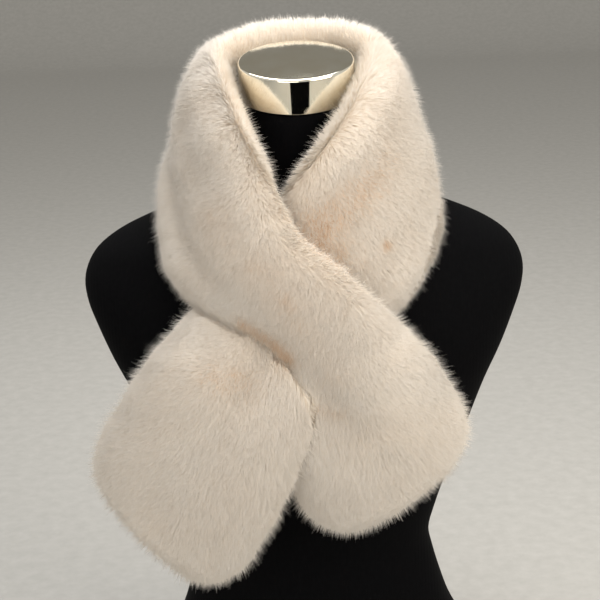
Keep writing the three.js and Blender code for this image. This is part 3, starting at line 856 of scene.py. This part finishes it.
# Steel plated in pale gold and polished: a clear mirror, a little clouded where hands have touched it
place = addNode(tree, "ShaderNodeTexCoord")
cloud = addNode(
    tree, "ShaderNodeTexNoise", links={"Vector": place.outputs["Object"]},
    values={"Scale": 45.0, "Detail": 3.0, "Roughness": 0.55},
)
gloss = addNode(
    tree, "ShaderNodeMapRange", links={"Value": cloud.outputs["Fac"]},
    values={"To Min": 0.03, "To Max": 0.1},
)
tint = addNode(
    tree, "ShaderNodeValToRGB", links={"Fac": cloud.outputs["Fac"]},
    stops=[(0.35, "#e6e0ce"), (0.7, "#ece8da")],
)
shader = addNode(
    tree, "ShaderNodeBsdfPrincipled", values={"Metallic": 1.0},
    links={"Base Color": tint.outputs["Color"], "Roughness": gloss.outputs["Result"]},
)
addNode(tree, "ShaderNodeOutputMaterial", links={"Surface": shader.outputs["BSDF"]})
lid = addTube("neck_cap_lid", capPoints(cap), capMaterial, True, True)
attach(lid, "root")
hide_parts("neck_cap")
print("cap built")

# A pale grey studio sweep: a floor that curves up behind the form
sweep = {"front": -5000, "back": 4200, "radius": 900, "high": 9000, "half": 5000}


def sweepPoints(sizes):
    # Straight along the floor, a quarter circle, straight up, carried across the width
    arc = np.linspace(0, np.pi / 2, 24)
    wall = sizes["back"] + sizes["radius"]
    y = np.concatenate([[sizes["front"]], sizes["back"] + sizes["radius"] * np.sin(arc), [wall]])
    z = np.concatenate([[0], sizes["radius"] * (1 - np.cos(arc)), [sizes["high"]]])
    x = np.linspace(-sizes["half"], sizes["half"], 2)
    return np.stack([np.repeat(x[:, None], len(y), axis=1), np.tile(y, (2, 1)), np.tile(z, (2, 1))], axis=-1)


sweepMaterial, tree = newMaterial("studioPaper")
# Matt seamless paper in pale grey, with the slightest mottle
place = addNode(tree, "ShaderNodeTexCoord")
mottle = addNode(
    tree, "ShaderNodeTexNoise", links={"Vector": place.outputs["Object"]},
    values={"Scale": 60.0, "Detail": 4.0, "Roughness": 0.6},
)
colour = addNode(
    tree, "ShaderNodeValToRGB", links={"Fac": mottle.outputs["Fac"]},
    stops=[(0.3, "#a6a49f"), (0.7, "#afada8")],
)
shader = addNode(
    tree, "ShaderNodeBsdfPrincipled", values={"Roughness": 0.95},
    links={"Base Color": colour.outputs["Color"]},
)
addNode(tree, "ShaderNodeOutputMaterial", links={"Surface": shader.outputs["BSDF"]})
grid = sweepPoints(sweep)
columns = grid.shape[1]
edge = np.arange(columns - 1)
quads = np.stack([edge, edge + columns, edge + columns + 1, edge + 1], axis=-1)
floor = addMesh("studioSweep", grid.reshape(-1, 3), [quads], sweepMaterial)

# A black flag in front, seen only in mirrors, gives the cap its dark upright reflection
flag = {"y": -620, "left": -150, "right": 290, "low": 1, "high": 480}
flagMaterial, tree = newMaterial("blackFelt")
shader = addNode(
    tree, "ShaderNodeBsdfPrincipled",
    values={"Base Color": hexColour("#0a0a0a"), "Roughness": 1.0, "Specular IOR Level": 0.0},
)
addNode(tree, "ShaderNodeOutputMaterial", links={"Surface": shader.outputs["BSDF"]})
corners = (("left", "low"), ("right", "low"), ("right", "high"), ("left", "high"))
points = np.array([(flag[side], flag["y"], flag[level]) for side, level in corners], dtype=float)
card = addMesh("blackFlag", points, [np.array([[0, 1, 2, 3]])], flagMaterial)
card.visible_camera = card.visible_diffuse = card.visible_shadow = card.visible_transmission = False

# Soft studio light: a large soft box to the right and above, a weaker one low in front, one overhead
lampAim = (0, 0, 420)
lamps = {
    "keyBox": {"place": (1300, -1100, 1300), "size": 1300, "watts": 29.5, "colour": "#fff8ee"},
    "fillBox": {"place": (-500, -1700, 400), "size": 1300, "watts": 12, "colour": "#fffaf4"},
    "topBox": {"place": (-100, 300, 1900), "size": 1300, "watts": 29, "colour": "#ffffff"},
}
for name, lamp in lamps.items():
    data = bpy.data.lights.new(name, "AREA")
    data.energy = lamp["watts"]
    data.size = lamp["size"] * millimetre
    data.color = hexColour(lamp["colour"])[:3]
    box = bpy.data.objects.new(name, data)
    place = np.array(lamp["place"]) * millimetre
    back = unit(place - np.array(lampAim) * millimetre)
    right = unit(np.cross([0, 0, 1.0], back))
    matrix = np.eye(4)
    matrix[:3, :4] = np.stack([right, np.cross(back, right), back, place], axis=1)
    box.matrix_world = Matrix(matrix.tolist())
    bpy.context.scene.collection.objects.link(box)
world = bpy.data.worlds.new("studioAir")
world.use_nodes = True
world.node_tree.nodes["Background"].inputs["Color"].default_value = hexColour("#eceae6")
world.node_tree.nodes["Background"].inputs["Strength"].default_value = 0.78
bpy.context.scene.world = world
bpy.context.scene.view_settings.view_transform = "Standard"
print("light set")
